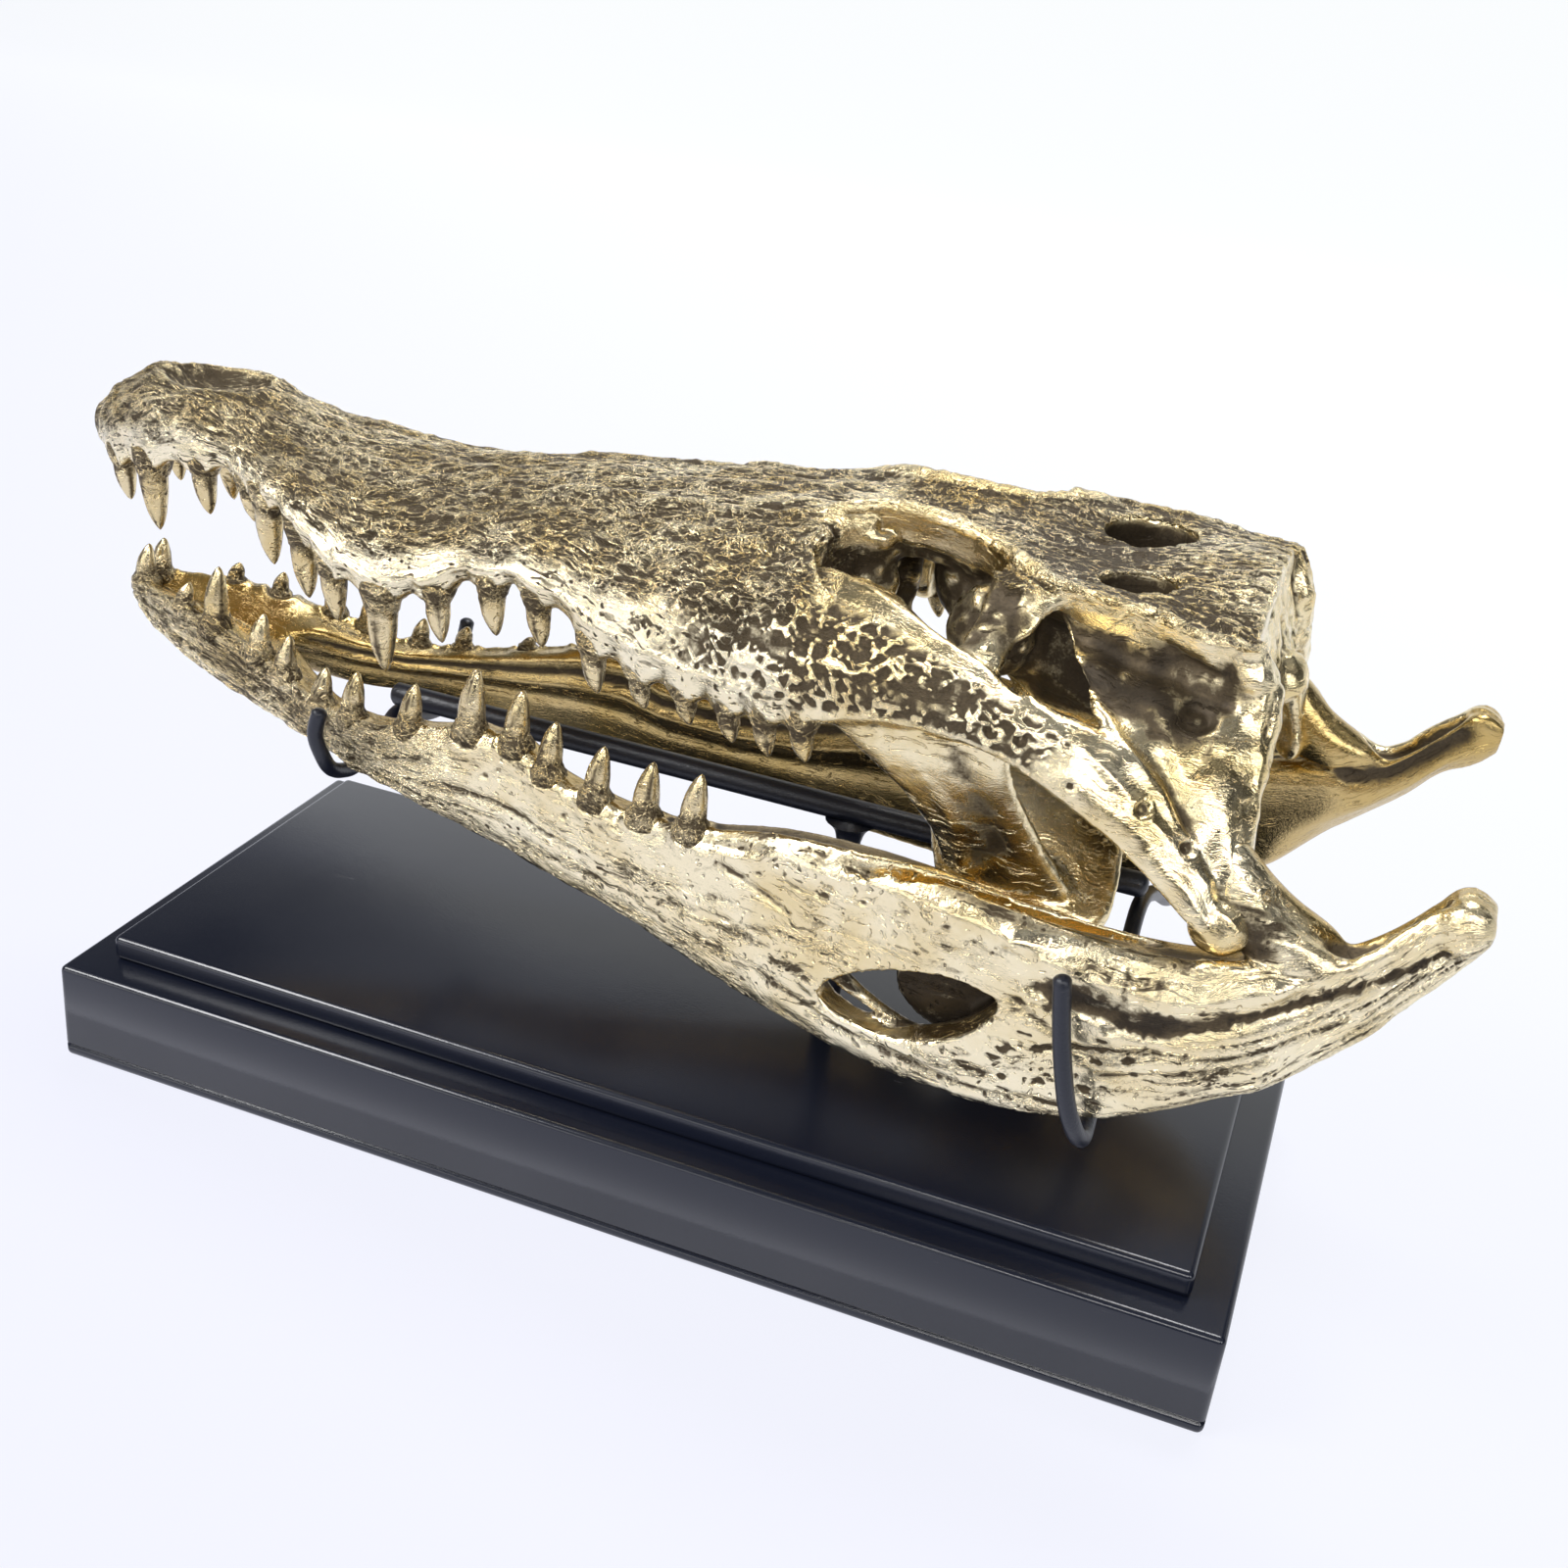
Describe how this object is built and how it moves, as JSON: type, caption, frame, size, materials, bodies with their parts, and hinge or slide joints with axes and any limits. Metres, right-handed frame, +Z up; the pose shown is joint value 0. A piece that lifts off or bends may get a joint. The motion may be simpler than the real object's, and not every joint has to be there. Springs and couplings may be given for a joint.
{
  "type": "cast brass crocodile skull on stand",
  "caption": "Life-size polished brass casting of a crocodile skull with its jaws open, held in a black steel-rod cradle on a stepped black wooden plinth.",
  "frame": {"origin": "centre of the plinth's underside, on the surface it stands on", "axes": "+Z up, -X towards the tip of the snout, the skull's left side on -Y, midline in the plane y = 0"},
  "size_m": [0.4735, 0.1926, 0.2355],
  "materials": {
    "brass": "polished on the ridges, dark brown patina in the hollows",
    "black_wood": "satin black lacquer",
    "black_steel": "satin black powder coat"
  },
  "bodies": {
    "root": {"snout": "brass", "skull_table": "brass", "braincase": "brass", "palate_wings": "brass", "cheek_left": "brass", "cheek_right": "brass", "jaw_front_left": "brass", "jaw_front_right": "brass", "jaw_rear_left": "brass", "jaw_rear_right": "brass", "stand_plinth": "black_wood", "stand_deck": "black_wood", "stand_post": "black_steel", "stand_spine": "black_steel", "stand_front_hooks": "black_steel", "stand_rear_hooks": "black_steel"}
  },
  "joints": []
}
